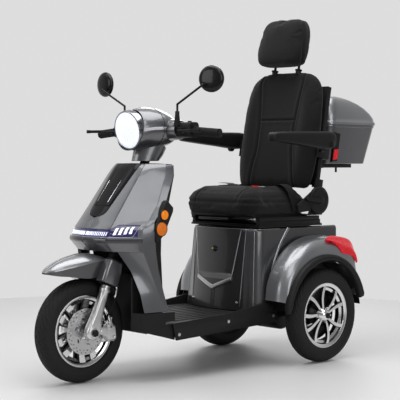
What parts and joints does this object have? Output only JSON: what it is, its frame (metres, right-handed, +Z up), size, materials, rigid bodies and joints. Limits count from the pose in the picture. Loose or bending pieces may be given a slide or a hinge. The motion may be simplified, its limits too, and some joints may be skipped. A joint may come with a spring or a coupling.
{
  "type": "mobility scooter",
  "caption": "Three-wheeled electric mobility scooter with a telescopic fork, captain's seat with armrests and headrest, mirrors, light bar and a rear top box.",
  "frame": {"origin": "on the ground, under the middle of the scooter's overall length and width", "axes": "+X forward, +Y to the rider's left, +Z up"},
  "size_m": [1.834, 0.769, 1.5319],
  "materials": {
    "metallic_grey": "metallic grey clear coat over moulded shells",
    "gloss_black": "high gloss black",
    "matte_black": "grained black plastic",
    "frame_black": "black powder coat",
    "fork_silver": "polished cast alloy",
    "steel": "machined steel",
    "tyre": "black tyre rubber",
    "grip_rubber": "ribbed rubber",
    "seat_fabric": "black woven fabric with dark red stitching",
    "headlight": "lit lamp behind a clear lens",
    "light_bar": "dark strip with lit white and blue segments",
    "amber_lens": "amber lens in a black housing",
    "red_lens": "red lamp lens",
    "mirror_shell": "black shell with a mirror glass"
  },
  "bodies": {
    "chassis": {"head_tube": "frame_black", "floor_frame": "frame_black", "deck": "matte_black", "side_skirts": "matte_black", "lower_cover": "matte_black", "front_shield": "metallic_grey", "gloss_panel": "gloss_black", "light_bar": "light_bar", "leg_shield": "matte_black", "side_indicators": "amber_lens", "seat_base": "metallic_grey", "rear_fenders": "metallic_grey", "tail_lights": "red_lens", "fender_flares": "matte_black", "rear_panel": "matte_black", "battery_pack": "matte_black", "seat_pedestal": "frame_black", "rear_shocks": "frame_black", "cover_screws": "steel"},
    "steering": {"fork_yoke": "frame_black", "front_fender": "metallic_grey", "handlebar": "frame_black", "grip_left": "grip_rubber", "switch_pods": "matte_black", "headlight": "headlight", "headlight_cowl": "metallic_grey"},
    "fork_lower": {"fork_sliders": "fork_silver", "brake_caliper": "fork_silver"},
    "front_wheel": {"front_tyre": "tyre", "front_rim": "fork_silver", "brake_disc": "steel"},
    "throttle": {"throttle_grip": "grip_rubber"},
    "lever_left": {"brake_lever_left": "fork_silver"},
    "lever_right": {"brake_lever_right": "fork_silver"},
    "horn": {"horn_button": "matte_black"},
    "key": {"ignition_key": "steel"},
    "mirror_arm_left": {"mirror_stem_left": "steel"},
    "mirror_arm_right": {"mirror_stem_right": "steel"},
    "mirror_left": {"mirror_head_left": "mirror_shell"},
    "mirror_right": {"mirror_head_right": "mirror_shell"},
    "rear_axle": {"rear_axle_motor": "frame_black"},
    "rear_wheel_left": {"rear_tyre_left": "tyre", "rear_rim_left": "fork_silver"},
    "rear_wheel_right": {"rear_tyre_right": "tyre", "rear_rim_right": "fork_silver"},
    "swivel": {"swivel_plate": "frame_black"},
    "seat": {"seat_rails": "frame_black", "seat_cushion": "seat_fabric", "recliner_covers": "matte_black", "lap_belt": "seat_fabric"},
    "slide_release": {"slide_lever": "frame_black"},
    "recline_release": {"recline_lever": "matte_black"},
    "back": {"backrest": "seat_fabric", "backrest_frame": "frame_black", "top_box": "metallic_grey"},
    "head_support": {"headrest": "seat_fabric"},
    "arm_left": {"armrest_left": "matte_black"},
    "arm_right": {"armrest_right": "matte_black"},
    "lid": {"box_lid": "metallic_grey"},
    "latch": {"box_latch": "matte_black"}
  },
  "joints": [
    {"name": "steer", "type": "hinge", "parent": "chassis", "child": "steering", "pos_m": [0.378, 0, 0.865], "axis": [-0.3746, 0, 0.9272], "range_deg": [-35, 35]},
    {"name": "front_suspension", "type": "slide", "parent": "steering", "child": "fork_lower", "axis": [-0.3746, 0, 0.9272], "range_m": [-0.01, 0.03], "stiffness_N_per_m": 40000, "springref_m": -0.012},
    {"name": "front_wheel_spin", "type": "hinge", "parent": "fork_lower", "child": "front_wheel", "pos_m": [0.712, 0, 0.205], "axis": [0, 1, 0], "continuous": true},
    {"name": "throttle_twist", "type": "hinge", "parent": "steering", "child": "throttle", "pos_m": [0.322, -0.235, 1], "axis": [-0.1157, -0.9906, -0.0723], "range_deg": [0, 60], "stiffness_Nm_per_rad": 0.6},
    {"name": "left_brake", "type": "hinge", "parent": "steering", "child": "lever_left", "pos_m": [0.356, 0.196, 1], "axis": [0, 0, 1], "range_deg": [0, 16], "stiffness_Nm_per_rad": 4},
    {"name": "right_brake", "type": "hinge", "parent": "steering", "child": "lever_right", "pos_m": [0.356, -0.196, 1], "axis": [0, 0, -1], "range_deg": [0, 16], "stiffness_Nm_per_rad": 4},
    {"name": "horn_press", "type": "slide", "parent": "steering", "child": "horn", "axis": [0, 0, -1], "range_m": [0, 0.003], "stiffness_N_per_m": 600},
    {"name": "key_turn", "type": "hinge", "parent": "chassis", "child": "key", "pos_m": [0.354, -0.07, 0.7], "axis": [-1, 0, 0], "range_deg": [0, 90]},
    {"name": "left_mirror_swing", "type": "hinge", "parent": "steering", "child": "mirror_arm_left", "pos_m": [0.346, 0.165, 1.04], "axis": [0, 0, 1], "range_deg": [-25, 25]},
    {"name": "right_mirror_swing", "type": "hinge", "parent": "steering", "child": "mirror_arm_right", "pos_m": [0.346, -0.165, 1.04], "axis": [0, 0, 1], "range_deg": [-25, 25]},
    {"name": "left_mirror_tilt", "type": "hinge", "parent": "mirror_arm_left", "child": "mirror_left", "pos_m": [0.35588, 0.32204, 1.18], "axis": [-0.3746, 0.9272, 0], "range_deg": [-8, 8]},
    {"name": "right_mirror_tilt", "type": "hinge", "parent": "mirror_arm_right", "child": "mirror_right", "pos_m": [0.3506, -0.30865, 1.18], "axis": [0.0698, 0.9976, 0], "range_deg": [-8, 8]},
    {"name": "rear_suspension", "type": "hinge", "parent": "chassis", "child": "rear_axle", "pos_m": [-0.13, 0, 0.2], "axis": [0, 1, 0], "range_deg": [-2, 4], "stiffness_Nm_per_rad": 6000, "springref_deg": -1.72, "deforming": ["rear_shocks"]},
    {"name": "rear_left_spin", "type": "hinge", "parent": "rear_axle", "child": "rear_wheel_left", "pos_m": [-0.388, 0.306, 0.205], "axis": [0, 1, 0], "continuous": true},
    {"name": "rear_right_spin", "type": "hinge", "parent": "rear_axle", "child": "rear_wheel_right", "pos_m": [-0.388, -0.306, 0.205], "axis": [0, 1, 0], "continuous": true},
    {"name": "seat_swivel", "type": "hinge", "parent": "chassis", "child": "swivel", "pos_m": [-0.25, 0, 0.6], "axis": [0, 0, 1], "range_deg": [-90, 90]},
    {"name": "seat_slide", "type": "slide", "parent": "swivel", "child": "seat", "axis": [1, 0, 0], "range_m": [-0.04, 0.04]},
    {"name": "slide_release_lift", "type": "hinge", "parent": "seat", "child": "slide_release", "pos_m": [-0.08, 0, 0.628], "axis": [0, -1, 0], "range_deg": [0, 10], "stiffness_Nm_per_rad": 8, "springref_deg": -5.73},
    {"name": "recline_release_lift", "type": "hinge", "parent": "seat", "child": "recline_release", "pos_m": [-0.442, 0.258, 0.705], "axis": [0, -1, 0], "range_deg": [0, 25], "stiffness_Nm_per_rad": 4, "springref_deg": -5.73},
    {"name": "back_recline", "type": "hinge", "parent": "seat", "child": "back", "pos_m": [-0.442, 0, 0.705], "axis": [0, -1, 0], "range_deg": [-4, 12]},
    {"name": "headrest_height", "type": "slide", "parent": "back", "child": "head_support", "axis": [-0.1736, 0, 0.9848], "range_m": [0, 0.05]},
    {"name": "left_armrest_flip", "type": "hinge", "parent": "back", "child": "arm_left", "pos_m": [-0.455, 0.28, 0.955], "axis": [0, -1, 0], "range_deg": [0, 88]},
    {"name": "right_armrest_flip", "type": "hinge", "parent": "back", "child": "arm_right", "pos_m": [-0.455, -0.28, 0.955], "axis": [0, -1, 0], "range_deg": [0, 88]},
    {"name": "lid_open", "type": "hinge", "parent": "back", "child": "lid", "pos_m": [-0.912, 0, 1.05], "axis": [0, -1, 0], "range_deg": [0, 80]},
    {"name": "latch_press", "type": "slide", "parent": "lid", "child": "latch", "axis": [0, 0, -1], "range_m": [0, 0.004], "stiffness_N_per_m": 500}
  ]
}
